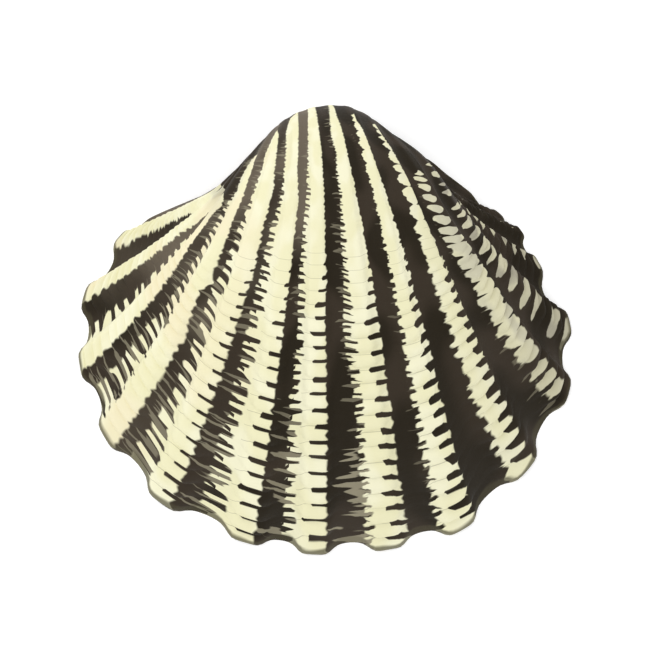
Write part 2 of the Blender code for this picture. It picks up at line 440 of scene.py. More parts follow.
# %% [markdown]
# ## The rim and the hollow
# The wall is thick at the rim, where the valve rests, and thins upwards. Along the hinge the rim
# widens into the hinge plate: two blunt teeth with sockets beside them, and behind the beak the
# groove of the ligament that pulled the two halves open. All of it is one run of rings again: from
# the edge across the rim, then up the hollow, each ring drawn in towards the hollow's middle.

# %% Shape of the rim
RIM_WIDTH = 2.4 * MM
HINGE_PLATE_WIDTH = 3.9 * MM
HINGE_PLATE_FROM = -12.0 * MM
HINGE_PLATE_FULL = -5.0 * MM
HOLLOW_CENTRE = level_with_hinge([(0.0, -14.0)])
HOLLOW_ENDS_AT = 100.0
HOLLOW_LAST_TURN = 96.0
HOLLOW_FULLNESS = 3.0
HOLLOW_ROWS = 30
HOLLOW_ROWS_CROWD = 1.15
RIM_ROWS = 12
NOTCH_DEPTH = 0.42 * MM
NOTCH_SHARES = (0.35, 0.95)
NOTCH_FADES_AT = 15.0
PLATE_RECESS = 0.55 * MM
PLATE_RISES_BY = 0.6
PLATE_RISE_SHARES = (0.85, 1.0)
PLATE_STATIONS = (16.6, 17.9, 22.0, 23.4)
PLATE_STARTS = (0.08, 0.32)
# Forms of the hinge plate in millimetres from the beak: centre, half sizes, slant and depth. A
# socket is deeper than the plate and a tooth stands up from it.
HINGE_FORMS = [
    ((-2.6, -3.0), (1.5, 0.75), -38.0, 0.8),
    ((1.2, -2.8), (1.7, 0.6), 18.0, 0.8),
    ((7.3, -2.7), (3.0, 0.45), -30.0, 0.6),
    ((-0.9, -2.5), (1.2, 0.5), -28.0, -0.6),
    ((4.0, -3.3), (2.6, 0.45), -14.0, -0.6),
]


def hollow_edge(station):
    """Points where the rim ends and the hollow begins."""
    outer = edge_curve(station)
    on_plate = smooth_step(HINGE_PLATE_FROM, HINGE_PLATE_FULL, outer[:, 1])[:, None]
    width = RIM_WIDTH + (HINGE_PLATE_WIDTH - RIM_WIDTH) * on_plate
    return outer - unit(outer - HOLLOW_CENTRE) * width


def hinge_relief(places):
    """Depth of the hinge plate's teeth and sockets at places of the rim."""
    depth = np.zeros(len(places))
    for centre, (long_half, short_half), slant, height in HINGE_FORMS:
        offset = (places - level_with_hinge([centre]))[:, :2] / MM
        angle = math.radians(slant) - HINGE_SLANT
        along = (offset[:, 0] * math.cos(angle) + offset[:, 1] * math.sin(angle)) / long_half
        across = (offset[:, 1] * math.cos(angle) - offset[:, 0] * math.sin(angle)) / short_half
        depth += height * MM * np.exp(-(along ** 2 + across ** 2) ** 1.5)
    return depth


def rim_ring(share):
    """Points of one ring of the rim: share goes from 0 at the edge to 1 at the hollow."""
    places = EDGE + (hollow_edge(STATIONS) - EDGE) * share
    ribbed = np.where(STATIONS < RIBS - 0.5, rib_section(STATIONS), 0.0)
    notches = NOTCH_DEPTH * ribbed * smooth_step(*NOTCH_SHARES, share)
    start, full, ending, end = PLATE_STATIONS
    on_plate = smooth_step(start, full, STATIONS) * (1.0 - smooth_step(ending, end, STATIONS))
    past_margin = smooth_step(*PLATE_STARTS, share)
    recess = PLATE_RECESS * (1.0 - PLATE_RISES_BY * smooth_step(*PLATE_RISE_SHARES, share))
    plate = on_plate * past_margin * (recess + hinge_relief(places))
    places[:, 2] = np.maximum(notches + plate, 0.0)
    return places


def hollow_ring(turn):
    """Points of one ring of the hollow at a turn, drawn in towards the hollow's middle."""
    closing = (1.0 - (turn / HOLLOW_ENDS_AT) ** HOLLOW_FULLNESS) ** (1.0 / HOLLOW_FULLNESS)
    start = hollow_edge(STATIONS)
    places = grown(HOLLOW_CENTRE + (start - HOLLOW_CENTRE) * closing, turn)
    fading = 1.0 - smooth_step(0.0, NOTCH_FADES_AT, turn)
    places[:, 2] += rim_ring(1.0)[:, 2] * fading
    return places


# %% Extrude the rim and the hollow
rim_shares = np.arange(1, RIM_ROWS + 1) / RIM_ROWS
hollow_turns = HOLLOW_LAST_TURN * (np.arange(1, HOLLOW_ROWS + 1) / HOLLOW_ROWS) ** HOLLOW_ROWS_CROWD
RIM_V = 0.45
inner_rings = [rim_ring(share) for share in rim_shares] + [hollow_ring(turn) for turn in hollow_turns]
inner_v = list(0.5 - (0.5 - RIM_V) * rim_shares) + list(RIM_V * (1.0 - hollow_turns / HOLLOW_ENDS_AT))
inner = start_ring("inner_shell", EDGE)
for row, ring in enumerate(inner_rings, start=1):
    bpy.ops.mesh.extrude_edges_indiv()
    number_selected_row(inner, row, ring)
bpy.ops.object.mode_set(mode="OBJECT")
write_growth_map(inner, [0.5] + inner_v)
select_where(inner, read_number(inner, "row") == len(inner_rings))
close_ring()
print("inside:", len(inner.data.polygons), "faces")

# %% Join the three parts
select_only(early, inner, valve)
bpy.ops.object.join()
bpy.ops.object.mode_set(mode="EDIT")
bpy.ops.mesh.select_all(action="SELECT")
bpy.ops.mesh.remove_doubles(threshold=MERGE_WITHIN)
bpy.ops.mesh.normals_make_consistent(inside=False)
bpy.ops.object.mode_set(mode="OBJECT")
check = bmesh.new()
check.from_mesh(valve.data)
open_edges = sum(edge.is_boundary for edge in check.edges)
check.free()
print("one shell:", len(valve.data.polygons), "faces,", open_edges, "open edges")

# %% [markdown]
# ## What growth did unevenly
# No shell is as even as a formula. The front ribs lean forward as they grew, knobs stand at
# different steps from rib to rib and fade towards the beak, where the oldest shell is worn smooth,
# the back slope is fuller, and the beak is rounded. Each of these is a small move of the vertices,
# worked out from where they lie on the growth map.

# %% Move the vertices of the outside
LEAN_STATIONS = [-5.0, 0.0, 1.0, 2.0, 3.0, 4.0, 5.5]
LEAN_SHARES = [0.0, 0.6, 0.45, 0.2, 0.18, 0.1, 0.0]
LEAN_FULL_TURN = 50.0
LEAN_LIMIT = 1.4
TOP_LEAN = -0.6
TOP_LEAN_TURNS = (85.0, 40.0)
TOP_LEAN_STATIONS = [1.0, 3.0, 4.0, 6.0, 7.5]
TOP_LEAN_SHARES = [0.0, 0.5, 1.0, 1.0, 0.0]
BACK_LEAN_STATIONS = [9.0, 10.0, 11.0, 12.5, 14.5, 16.5]
BACK_LEAN_SHARES = [0.0, -0.25, -0.45, -0.45, -0.2, 0.0]
BACK_LEAN_TURNS = (35.0, 66.0)
STAGGER_STEPS = 0.4
STAGGER_PER_RIB = 2.3
STAGGER_CHANGES = (0.36, 0.64)
STAGGER_FULL_TURN = 5.0
BEAK_CENTRE = level_with_hinge([(-0.5, -5.0)])
BEAK_ROUNDS_FROM = 115.0
BEAK_ROUNDS_TO = 170.0
SWELL_HEIGHT = 0.85 * MM
SWELL_TURNS = (25.0, 118.0)
SWELL_RIB = 11.5
SWELL_RIBS_EACH_WAY = 4.0
KNOBS_FADE_TURNS = (38.0, 58.0)
RIBS_WEAR_TURNS = (85.0, 125.0)
RIBS_WORN_SHARE = 0.65
KNOB_UNEVENNESS = 0.35
WAVINESS = 0.05 * MM
WAVES_ADDED = 5
STAGGER_ENDS = (70.0, 90.0)
LOWEST_OUTSIDE = 0.03 * MM


def soft_waves(station, turn, size, seed):
    """Slow random waves between about -1 and 1 over the outside, the same on every run."""
    chance = np.random.default_rng(seed)
    total = np.zeros(len(station))
    for _ in range(WAVES_ADDED):
        across, back = chance.uniform(0.6, 1.6, 2) / size
        phase = chance.uniform(0.0, 2.0 * math.pi)
        round_shell = 2.0 * math.pi * np.round(across * STATIONS_ROUND) / STATIONS_ROUND
        total += np.sin(station * round_shell + turn * back + phase)
    return total / WAVES_ADDED


def lean(station, turn):
    """How many stations a growth line's place has slid round the shell."""
    wrapped = np.where(station > 17.5, station - STATIONS_ROUND, station)
    front = np.interp(wrapped, LEAN_STATIONS, LEAN_SHARES)
    sliding = front * np.minimum(turn / LEAN_FULL_TURN, LEAN_LIMIT) ** 2
    back = np.interp(wrapped, BACK_LEAN_STATIONS, BACK_LEAN_SHARES)
    sliding += back * smooth_step(*BACK_LEAN_TURNS, turn)
    start, span = TOP_LEAN_TURNS
    near_top = np.interp(wrapped, TOP_LEAN_STATIONS, TOP_LEAN_SHARES)
    return sliding + TOP_LEAN * near_top * np.clip((turn - start) / span, 0.0, 1.2) ** 1.5


def stagger(station):
    """How many steps a rib's knobs stand ahead of the next rib's; it changes in the grooves."""
    rib = np.floor(station)
    here = np.sin(rib * STAGGER_PER_RIB)
    ahead = np.sin((rib + 1.0) * STAGGER_PER_RIB)
    share = smooth_step(*STAGGER_CHANGES, station - rib)
    return STAGGER_STEPS * (here + (ahead - here) * share)


def swell(station, turn):
    """Height of the fuller back slope."""
    start, end = SWELL_TURNS
    along = np.clip((turn - start) / (end - start), 0.0, 1.0)
    across = np.minimum(np.abs(station - SWELL_RIB) / SWELL_RIBS_EACH_WAY, 1.0)
    return SWELL_HEIGHT * np.sin(np.pi * along) ** 2 * np.cos(np.pi / 2.0 * across) ** 2


def plain_outside(station, path, kept_depth):
    """Points of the outside without knobs: a rib's section at station, laid on the line path."""
    return edge_curve(path) - edge_outward(path) * (groove_depth(station) * kept_depth)[:, None]


def beak_end(places, turn):
    """The last ring of the outside, and the tip in its middle that closes it."""
    end = np.flatnonzero(turn > (LAST_STEP - 0.5) * STEP_TURN)
    off_middle = np.linalg.norm(places[end] - places[end].mean(axis=0), axis=1)
    tip = end[off_middle.argmin()]
    return end[end != tip], tip


def age_outside(piece):
    """Give the outside the unevenness of its growth; return station, turn and the stagger in turns."""
    station, turn = growth_places(piece)
    places = read_places(piece)
    last_ring, tip = beak_end(places, turn)
    outside = turn > 0.0
    s, t = station[outside], turn[outside]
    path = s + lean(s, t)
    seam_fading = smooth_step(-0.5, 0.0, s) * (1.0 - smooth_step(RIBS - 1.0, RIBS + 1.0, s))
    staggered = stagger(s) * STEP_TURN * seam_fading
    start_soft = smooth_step(0.0, STAGGER_FULL_TURN, t)
    late = t + staggered * start_soft * (1.0 - smooth_step(*STAGGER_ENDS, t))
    past = np.clip((t - BEAK_ROUNDS_FROM) / (BEAK_ROUNDS_TO - BEAK_ROUNDS_FROM), 0.0, 1.0)
    rounding = np.sqrt(1.0 - past ** 2)[:, None]
    kept_share = 1.0 - RIBS_WORN_SHARE * smooth_step(*RIBS_WEAR_TURNS, t)
    drawn = BEAK_CENTRE + (plain_outside(s, path, kept_share) - BEAK_CENTRE) * rounding
    moved = grown(drawn, late) - grown(plain_outside(s, s, 1.0), t)
    normal = grown(edge_normal(path), late)
    relief = knob_relief(s, t) * (t < KNOBBED_STEPS * STEP_TURN)[:, None]
    kept = 1.0 - smooth_step(*KNOBS_FADE_TURNS, t)
    kept = kept * (1.0 + KNOB_UNEVENNESS * soft_waves(s, t, 0.9, 7))
    waves = WAVINESS * soft_waves(s, t, 4.0, 3) * start_soft
    lifted = unit(normal) * swell(s, t)[:, None] + normal * waves[:, None]
    places[outside] += moved + relief * (kept - 1.0)[:, None] + lifted
    places[outside, 2] = np.maximum(places[outside, 2], LOWEST_OUTSIDE * smooth_step(0.0, 2.0, t))
    places[tip] = places[last_ring].mean(axis=0)
    write_places(piece, places)
    ahead = np.zeros(len(station))
    ahead[outside] = late - t
    return station, turn, ahead


station, turn, ahead = age_outside(valve)
print("outside aged:", int((turn > 0.0).sum()), "vertices moved")

# %% [markdown]
# ## Put it in its place
# So far the beak is the origin and the hinge line is the X axis, which made growing easy. Now the
# shell is turned back by the hinge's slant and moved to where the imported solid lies, and both are
# applied, so that the finished object sits at the origin unturned.

# %% Turn and place the shell
SMOOTH_BELOW = math.radians(60.0)
select_only(valve)
valve.rotation_euler.z = HINGE_SLANT
bpy.ops.object.transform_apply(location=False, rotation=True, scale=True)
places = read_places(valve)
own_middle = (places.min(axis=0) + places.max(axis=0)) / 2.0
cad_middle = (cad_low + cad_high) / 2.0
lifted_by = cad_low.z - places[:, 2].min()
valve.location = (cad_middle.x - own_middle[0], cad_middle.y - own_middle[1], lifted_by)
beak = valve.location.copy()
bpy.ops.object.transform_apply(location=True, rotation=False, scale=False)
bpy.ops.object.shade_smooth_by_angle(angle=SMOOTH_BELOW)
print("beak at, mm:", [round(value / MM, 2) for value in beak])
print("shell, mm:", [round(value / MM, 2) for value in (places.max(axis=0) - places.min(axis=0))])

# %% [markdown]
# ## Where the colour lies
# The shell is cream on its ribs, with painted shade in dark brown in the grooves between them. The
# shade of each groove has its own width, and it changes from the edge to the beak, where some
# grooves close and some ribs go dark with painted shade.
# So the colour is written down groove by groove, in shares of the way from one rib's crest to the
# next, and laid on the vertices as attributes. The material then only has to compare. Painting an
# image would fix one resolution.

# %% Write the grooves' colour down
# For each groove, from the front on: at a turn in degrees, where its painted shade begins, where it
# stops being solid, and how far its teeth reach onto the next rib, in hundredths of the way across.
# The upper edge is in painted shade all over, up to the groove before the first rib.
ALL_DARK = (-10, 110, 110)
GROOVES = [
    [(6, 24, 60, 66), (29, 25, 66, 74), (41, 30, 72, 77), (49, 79, 79, 79), (64, 79, 79, 79),
     (70, *ALL_DARK)],
    [(6, 12, 42, 70), (17, 15, 46, 72), (29, 18, 44, 68), (41, 22, 44, 64), (58, 46, 62, 74),
     (61, 60, 60, 60), (67, 60, 60, 60), (72, *ALL_DARK)],
    [(6, 12, 36, 83), (23, 15, 34, 84), (29, 19, 44, 85), (41, 18, 44, 79), (52, 11, 40, 77),
     (58, 16, 42, 74), (62, 15, 38, 74), (66, 27, 34, 58), (69, 26, 36, 56), (72, -10, 56, 62),
     (80, -10, 36, 40), (90, -10, 40, 45), (93, *ALL_DARK)],
    [(6, 18, 38, 75), (17, 22, 45, 70), (29, 26, 42, 72), (41, 18, 38, 74), (44, 33, 36, 76),
     (47, 24, 42, 78), (56, 24, 44, 74), (64, 18, 40, 68), (73, 17, 45, 55), (85, 10, 50, 52),
     (92, -10, 40, 42), (105, -10, 56, 60), (109, *ALL_DARK)],
    [(6, 12, 38, 68), (17, 15, 40, 60), (41, 23, 40, 68), (52, 30, 42, 65), (64, 25, 43, 60),
     (76, 30, 58, 68), (85, 20, 50, 55), (105, 13, 44, 48), (109, -10, 50, 52), (120, -10, 68, 70),
     (124, *ALL_DARK)],
    [(6, 10, 48, 68), (17, 10, 45, 72), (29, 12, 42, 65), (41, 16, 52, 72), (52, 20, 45, 68),
     (76, 27, 60, 78), (85, 12, 56, 62), (95, 12, 58, 62), (120, 15, 78, 80)],
    [(6, 17, 72, 85), (29, 20, 72, 88), (41, 20, 60, 88), (52, 25, 68, 84), (76, 25, 78, 86),
     (84, 22, 72, 78), (90, 22, 80, 84), (98, 22, 68, 72), (125, 25, 88, 90)],
    [(6, 30, 72, 82), (29, 38, 78, 87), (52, 42, 87, 94), (76, 33, 86, 92), (84, 28, 80, 84),
     (95, 22, 70, 73), (105, 18, 62, 66), (112, 10, 60, 65), (116, 10, 110, 110)],
    [(6, 22, 74, 80), (29, 36, 76, 82), (52, 42, 80, 83), (73, 36, 72, 77), (95, 20, 56, 60),
     (106, 12, 60, 62), (110, *ALL_DARK)],
    [(6, 12, 75, 79), (29, 25, 68, 73), (49, 37, 64, 68), (64, 30, 60, 65), (76, 20, 60, 65),
     (79, 14, 110, 110), (90, 10, 110, 110), (98, 0, 110, 110), (104, *ALL_DARK)],
    [(6, 5, 62, 66), (29, 20, 60, 65), (52, 30, 64, 68), (64, 25, 64, 68), (76, 12, 65, 70),
     (79, *ALL_DARK)],
    [(6, 5, 75, 80), (29, 32, 75, 80), (64, 32, 75, 80), (72, 20, 80, 85), (76, *ALL_DARK)],
    [(6, 30, 100, 100), (64, 25, 100, 100), (70, *ALL_DARK)],
    [(6, *ALL_DARK)],
]
GROOVE_BEFORE_FIRST = [(6, -10, 57, 61), (62, -10, 64, 68), (68, *ALL_DARK)]
GROOVES += [[(0, *ALL_DARK)]] * (STATIONS_ROUND - len(GROOVES) - 1) + [GROOVE_BEFORE_FIRST]
# From this station on, the upper edge lies in front of the beak.
FRONT_UPPER_FROM = 20
# For each groove: how many teeth of painted shade stand in a step, how slanted they are (steps
# per rib spacing), and how strong its olive streaks of painted half-shade are near the rim and
# above it.
TEETH = [
    (1.2, 0.0, 0.0, 0.0), (0.8, 1.0, 0.3, 0.2), (1.1, 0.5, 0.65, 0.6), (1.0, -0.4, 0.6, 0.6),
    (1.4, -0.3, 0.7, 0.55), (1.6, -0.1, 0.8, 0.45), (2.1, 0.0, 1.0, 0.5), (1.6, 0.0, 0.35, 0.3),
    (1.0, -0.5, 0.0, 0.0), (0.9, -1.5, 0.4, 0.2), (0.8, -2.3, 0.0, 0.0), (0.8, -3.0, 0.0, 0.0),
    (0.8, -3.0, 0.0, 0.0), (0.8, -3.0, 0.0, 0.0),
]
STREAKS_CHANGE_TURNS = (16.0, 28.0)
# For each groove: how far thin ticks of painted shade between the knobs reach back onto its first
# rib, half their width as a share of a step, and their slant.
NO_TICKS = (0.0, 0.0, 0.0)
TICKS = [NO_TICKS] * 4 + [
    (0.20, 0.13, 0.0), (0.26, 0.14, 0.0), (0.30, 0.15, 0.0), (0.29, 0.17, -0.2), (0.26, 0.23, -0.5),
    (0.22, 0.24, -1.2),
]
TICKS_FADE_TURNS = (40.0, 62.0)
# Ticks may start a third of the way before their rib's crest.
TICKS_START = 1.0 / 3.0
# For each groove: how light the brown of its painted shade is at four turns from the edge to the beak.
LIGHT_TURNS = [6.0, 36.0, 56.0, 72.0]
LIGHT_GROOVES = [
    (0.4, 0.2, 0.1, 0.1), (0.2, 0.8, 0.5, 0.2), (0.0, 0.45, 0.4, 0.25), (0.45, 0.3, 0.4, 0.7),
    (0.1, 0.3, 0.3, 0.4), (0.0, 0.0, 0.1, 1.0), (0.0, 0.0, 0.0, 0.1),
]
UPPER_LIGHT = 0.7
# On some back ribs painted shade leaves only separate drops of cream. For each rib: the drops'
# middle and half width across the rib, their length as a share of the way to the next drop, their
# slant, and how many stand in a step.
NO_DROPS = (0.0, 1.0, 9.0, 0.0, 0.55)
DROPS = [NO_DROPS] * 8 + [
    (0.06, 0.55, 1.1, -0.8, 0.55), (0.03, 0.44, 0.75, -1.3, 0.55), (-0.08, 0.36, 0.54, -2.0, 0.75),
    (-0.03, 0.38, 0.33, -1.7, 0.60), (0.17, 0.33, 0.30, -2.6, 0.62), (0.0, 0.2, 0.2, -3.0, 0.55),
    (0.0, 0.1, 0.2, -3.0, 0.55),
]
# What share of each of those five is lost between these turns.
DROP_CHANGE = [-1.2, 0.4, 0.3, 0.0, 0.0]
DROPS_CHANGE_TURNS = (42.0, 66.0)
# For each rib: how much its drops shrink and grey with deeper painted shade near the rim.
RIM_GAPS = [0.0] * 10 + [0.42, 0.25, 0.2, 0.0, 0.0]
RIM_GAP_TURNS = (11.0, 22.0)
# Painted shade makes the cream duller on the back, and a little on the first ribs near the beak.
SHADE_STATIONS = (8.0, 11.5)
FRONT_SHADE = 0.55
FRONT_SHADE_TURNS = (54.0, 66.0)
FRONT_SHADE_STATIONS = (1.5, 3.2)


# %% Lay it on the vertices
def write_number(piece, name, values):
    """Lay plain numbers on the vertices."""
    attribute = piece.data.attributes.new(name, "FLOAT", "POINT")
    attribute.data.foreach_set("value", np.asarray(values, np.float32))


def groove_at(ahead_by=0.0):
    """The groove of each place, or of one a share ahead; a crest goes with the groove after it."""
    return np.floor(station + ahead_by + NEARLY).astype(int) % STATIONS_ROUND


def by_groove(rows, field, ahead_by=0.0):
    """Give each place a number of its groove's row; 0 where there is no row."""
    values = np.zeros(STATIONS_ROUND)
    values[:len(rows)] = [row[field] for row in rows]
    return values[groove_at(ahead_by)]


def by_rib(values):
    """Give each place the value of the rib that it lies on."""
    padded = np.append(np.asarray(values), np.full(STATIONS_ROUND - len(values), values[0]))
    return padded[np.floor(station + 0.5).astype(int) % STATIONS_ROUND]


def groove_limit(side, groove_of):
    """One of the colour's limits at each place, when each place belongs to the given groove."""
    limit = np.zeros(len(station))
    for index, rows in enumerate(GROOVES):
        here = groove_of == index
        turns, shares = np.array(rows)[:, 0], np.array(rows)[:, side] / 100.0
        limit[here] = np.interp(turn[here], turns, shares)
    return limit


# A crest belongs to the groove after it for where the dark begins, and to the groove before it for
# where the dark ends, so that no false line runs along the crest between two vertices.
groove_after = groove_at()
groove_before = (np.ceil(station - NEARLY).astype(int) - 1) % STATIONS_ROUND
light = np.where(groove_after >= FRONT_UPPER_FROM, UPPER_LIGHT, 0.0)
for index, lightness in enumerate(LIGHT_GROOVES):
    here = groove_after == index
    light[here] = np.interp(turn[here], LIGHT_TURNS, lightness)
above_rim = smooth_step(*STREAKS_CHANGE_TURNS, turn)
ticks_kept = 1.0 - smooth_step(*TICKS_FADE_TURNS, turn)
rim_gaps = by_rib(RIM_GAPS) * (1.0 - smooth_step(*RIM_GAP_TURNS, turn))
front_shade = smooth_step(*FRONT_SHADE_TURNS, turn) * (1.0 - smooth_step(*FRONT_SHADE_STATIONS, station))
NUMBERS = {
    "groove_from": groove_limit(1, groove_after),
    "groove_solid_to": groove_limit(2, groove_before),
    "groove_to": groove_limit(3, groove_before),
    "light_groove": light,
    "ahead": ahead / STEP_TURN,
    "teeth_per_step": by_groove(TEETH, 0),
    "teeth_slant": by_groove(TEETH, 1),
    "streaks": by_groove(TEETH, 2) * (1.0 - above_rim) + by_groove(TEETH, 3) * above_rim,
    "ticks": by_groove(TICKS, 0, TICKS_START) * ticks_kept,
    "tick_half": by_groove(TICKS, 1, TICKS_START),
    "tick_slant": by_groove(TICKS, 2, TICKS_START),
    "tick_to": groove_limit(1, groove_at(TICKS_START)),
    "rim_gaps": rim_gaps,
    "shade": smooth_step(*SHADE_STATIONS, station) + FRONT_SHADE * front_shade,
}
# Shape of the drops of cream between the painted shade, changing towards the beak and near the rim.
for index, name in enumerate(("drop_middle", "drop_half", "drop_length", "drop_slant", "drops_per_step")):
    kept_share = 1.0 - DROP_CHANGE[index] * smooth_step(*DROPS_CHANGE_TURNS, turn)
    if name == "drop_length":
        kept_share -= rim_gaps
    NUMBERS[name] = by_rib([drop[index] for drop in DROPS]) * kept_share
for name, values in NUMBERS.items():
    write_number(valve, name, values)
print(len(NUMBERS), "numbers laid on each vertex")

# %% [markdown]
# ## A small kit for wiring materials
# Node trees are joined by hand in the editor; in code the same few moves come back all the time,
# so they get short names. Each call adds one node and gives back its output, and outputs can be
# added and multiplied like numbers.

# %% Wiring kit
class Output:
    """What a node gives out; a sum with it adds the node that works the sum out."""

    def __init__(self, wiring, socket):
        self.wiring = wiring
        self.socket = socket

    def __add__(self, other):
        return self.wiring.math("ADD", self, other)

    def __sub__(self, other):
        return self.wiring.math("SUBTRACT", self, other)

    def __rsub__(self, other):
        return self.wiring.math("SUBTRACT", other, self)

    def __mul__(self, other):
        return self.wiring.math("MULTIPLY", self, other)

    def __truediv__(self, other):
        return self.wiring.math("DIVIDE", self, other)

    def __pow__(self, other):
        return self.wiring.math("POWER", self, other)

    def __abs__(self):
        return self.wiring.math("ABSOLUTE", self)


class Wiring:
    """Adds nodes to a tree and joins them to sockets or plain values."""

    def __init__(self, tree):
        self.tree = tree

    def add(self, kind, inputs, output=0, **settings):
        """Add a node, set it, feed its inputs and give back one output."""
        node = self.tree.nodes.new(kind)
        for name, value in settings.items():
            setattr(node, name, value)
        for name, value in inputs.items():
            self.feed(node.inputs[name], value)
        return Output(self, node.outputs[output])

    def feed(self, socket, value):
        """Join a socket to a node's output, or set it to a value."""
        if isinstance(value, Output):
            self.tree.links.new(value.socket, socket)
        else:
            socket.default_value = value

    def math(self, operation, *values):
        """Do an operation on numbers."""
        return self.add("ShaderNodeMath", dict(enumerate(values)), operation=operation)

    def ramp(self, value, low, high):
        """Go smoothly from 0 at low to 1 at high."""
        inputs = {"Value": value, "From Min": low, "From Max": high}
        return self.add("ShaderNodeMapRange", inputs, interpolation_type="SMOOTHSTEP")

    def noise(self, x, y, z, detail=0.0):
        """Read noise at a place made of three numbers."""
        place = self.add("ShaderNodeCombineXYZ", {"X": x, "Y": y, "Z": z})
        inputs = {"Vector": place, "Scale": 1.0, "Detail": detail}
        return self.add("ShaderNodeTexNoise", inputs, output="Fac")

    def mix(self, share, first, second):
        """Mix two colours."""
        inputs = {0: share, 6: first, 7: second}
        return self.add("ShaderNodeMix", inputs, output=2, data_type="RGBA")

    def number(self, name):
        """Read a number laid on the vertices."""
        return self.add("ShaderNodeAttribute", {}, output="Fac", attribute_name=name)


LIGHT_LEVEL = 1.2


def colour(red, green, blue):
    """Turn a colour as seen under the studio light, 0 to 255, into the linear values of a surface."""
    shares = [value / 255.0 for value in (red, green, blue)]
    linear = [share / 12.92 if share <= 0.04045 else ((share + 0.055) / 1.055) ** 2.4 for share in shares]
    return (*(value / LIGHT_LEVEL for value in linear), 1.0)


# %% [markdown]
# ## Growth lines, for both faces
# Fine lines of growth cross the outside, and much fainter ones show in the glaze of the inside.
# Both materials need them with their own spacing, so they are a node group with named sockets.

# %% Growth line group
def make_growth_lines():
    """Build the group: fine uneven lines across the growth, as a height and a tone."""
    group = bpy.data.node_groups.new("growth_lines", "ShaderNodeTree")
    for name in ("Steps", "Station", "Fineness", "Unevenness"):
        group.interface.new_socket(name, in_out="INPUT", socket_type="NodeSocketFloat")
    for name in ("Height", "Tone"):
        group.interface.new_socket(name, in_out="OUTPUT", socket_type="NodeSocketFloat")
    wiring = Wiring(group)
    given = group.nodes.new("NodeGroupInput").outputs
    steps, station, fineness, unevenness = (Output(wiring, socket) for socket in given[:4])
    fine = wiring.noise(steps * fineness, station * 1.3, 0.0, detail=2.0)
    slow = wiring.noise(steps * 0.35, station, 4.0)
    height = fine + (slow - 0.5) * unevenness
    made = group.nodes.new("NodeGroupOutput").inputs
    wiring.feed(made["Height"], height)
    wiring.feed(made["Tone"], wiring.ramp(height, 0.3, 0.7))
    return group


GROWTH_LINES = make_growth_lines()


def growth_lines(wiring, steps, station, fineness, unevenness, output):
    """Place the growth line group in a material and give back one of its outputs."""
    inputs = {"Steps": steps, "Station": station, "Fineness": fineness, "Unevenness": unevenness}
    return wiring.add("ShaderNodeGroup", inputs, output=output, node_tree=GROWTH_LINES)


# %% [markdown]
# ## The chalky outside
# The outside is matt and chalky: cream on the ribs, with painted shade in nearly black brown in the
# grooves. Teeth of painted shade run in from the left groove, with olive streaks of painted
# half-shade between them in the middle grooves, thin ticks of painted shade lie between the knobs
# on the right of each rib, and on the back ribs painted shade breaks the cream into separate drops.
# All edges are a little ragged.

# %% Outside material
STEPS_PER_V = FULL_CIRCLE / STEP_TURN
SOFT = 0.02
CREAM = colour(244, 240, 199)
PALE_CREAM = colour(250, 247, 214)
ROSY_CREAM = colour(247, 238, 201)
# The cream under painted shade, and under deeper painted shade.
SHADED_CREAM = colour(206, 201, 172)
DEEP_SHADED_CREAM = colour(164, 158, 140)
# Browns of the painted shade in the grooves.
DARK_BROWN = colour(57, 48, 37)
BLACK_BROWN = colour(38, 31, 18)
MID_BROWN = colour(108, 98, 84)
# Olive of the painted half-shade streaks in the grooves.
HALF_SHADE_OLIVE = colour(152, 145, 122)
# A thin olive line of painted shade runs along the edge of the shell.
EDGE_SHADE_OLIVE = colour(86, 81, 58)
EDGE_SHADE_STEPS = (0.6, 0.4)
TEETH_UNEVENNESS = 1.2
LIMITS_RAG = 0.12
STREAKS_PER_STEP = 3.8
DROP_POINTEDNESS = 1.6
# Steps by which the marks sweep towards the edge on their way down into a groove.
MARKS_SWEEP = 0.8
MARKS_SWEEP_STEPS = (20.0, 2.0)
GRAIN_SCALE = 2600.0


def new_material(name, roughness, gloss):
    """Start a material and give back its wiring and its surface shader."""
    material = bpy.data.materials.new(name)
    material.use_nodes = True
    surface = material.node_tree.nodes["Principled BSDF"]
    surface.inputs["Roughness"].default_value = roughness
    surface.inputs["Metallic"].default_value = 0.0
    surface.inputs["Specular IOR Level"].default_value = gloss
    return material, Wiring(material.node_tree), surface


def read_growth_map(wiring):
    """Give back station and v from the growth map."""
    place = wiring.add("ShaderNodeUVMap", {}, uv_map=GROWTH_MAP)
    u, v = (wiring.add("ShaderNodeSeparateXYZ", {"Vector": place}, output=axis) for axis in "XY")
    return u * float(STATIONS_ROUND), v


def below(wiring, value, limit):
    """1 where a value is below a limit, with a soft edge."""
    return wiring.ramp(limit - value, -SOFT, SOFT)


def sunk_share(wiring, over):
    """How deep the ribs' section lies: 0 on a crest and nearly 1 on a groove's floor."""
    off_crest = wiring.math("MINIMUM", over, 1.0 - over)
    steep = (off_crest / RIB_HALF_WIDTH) ** RIB_SHOULDER
    return steep / (steep + 1.0)


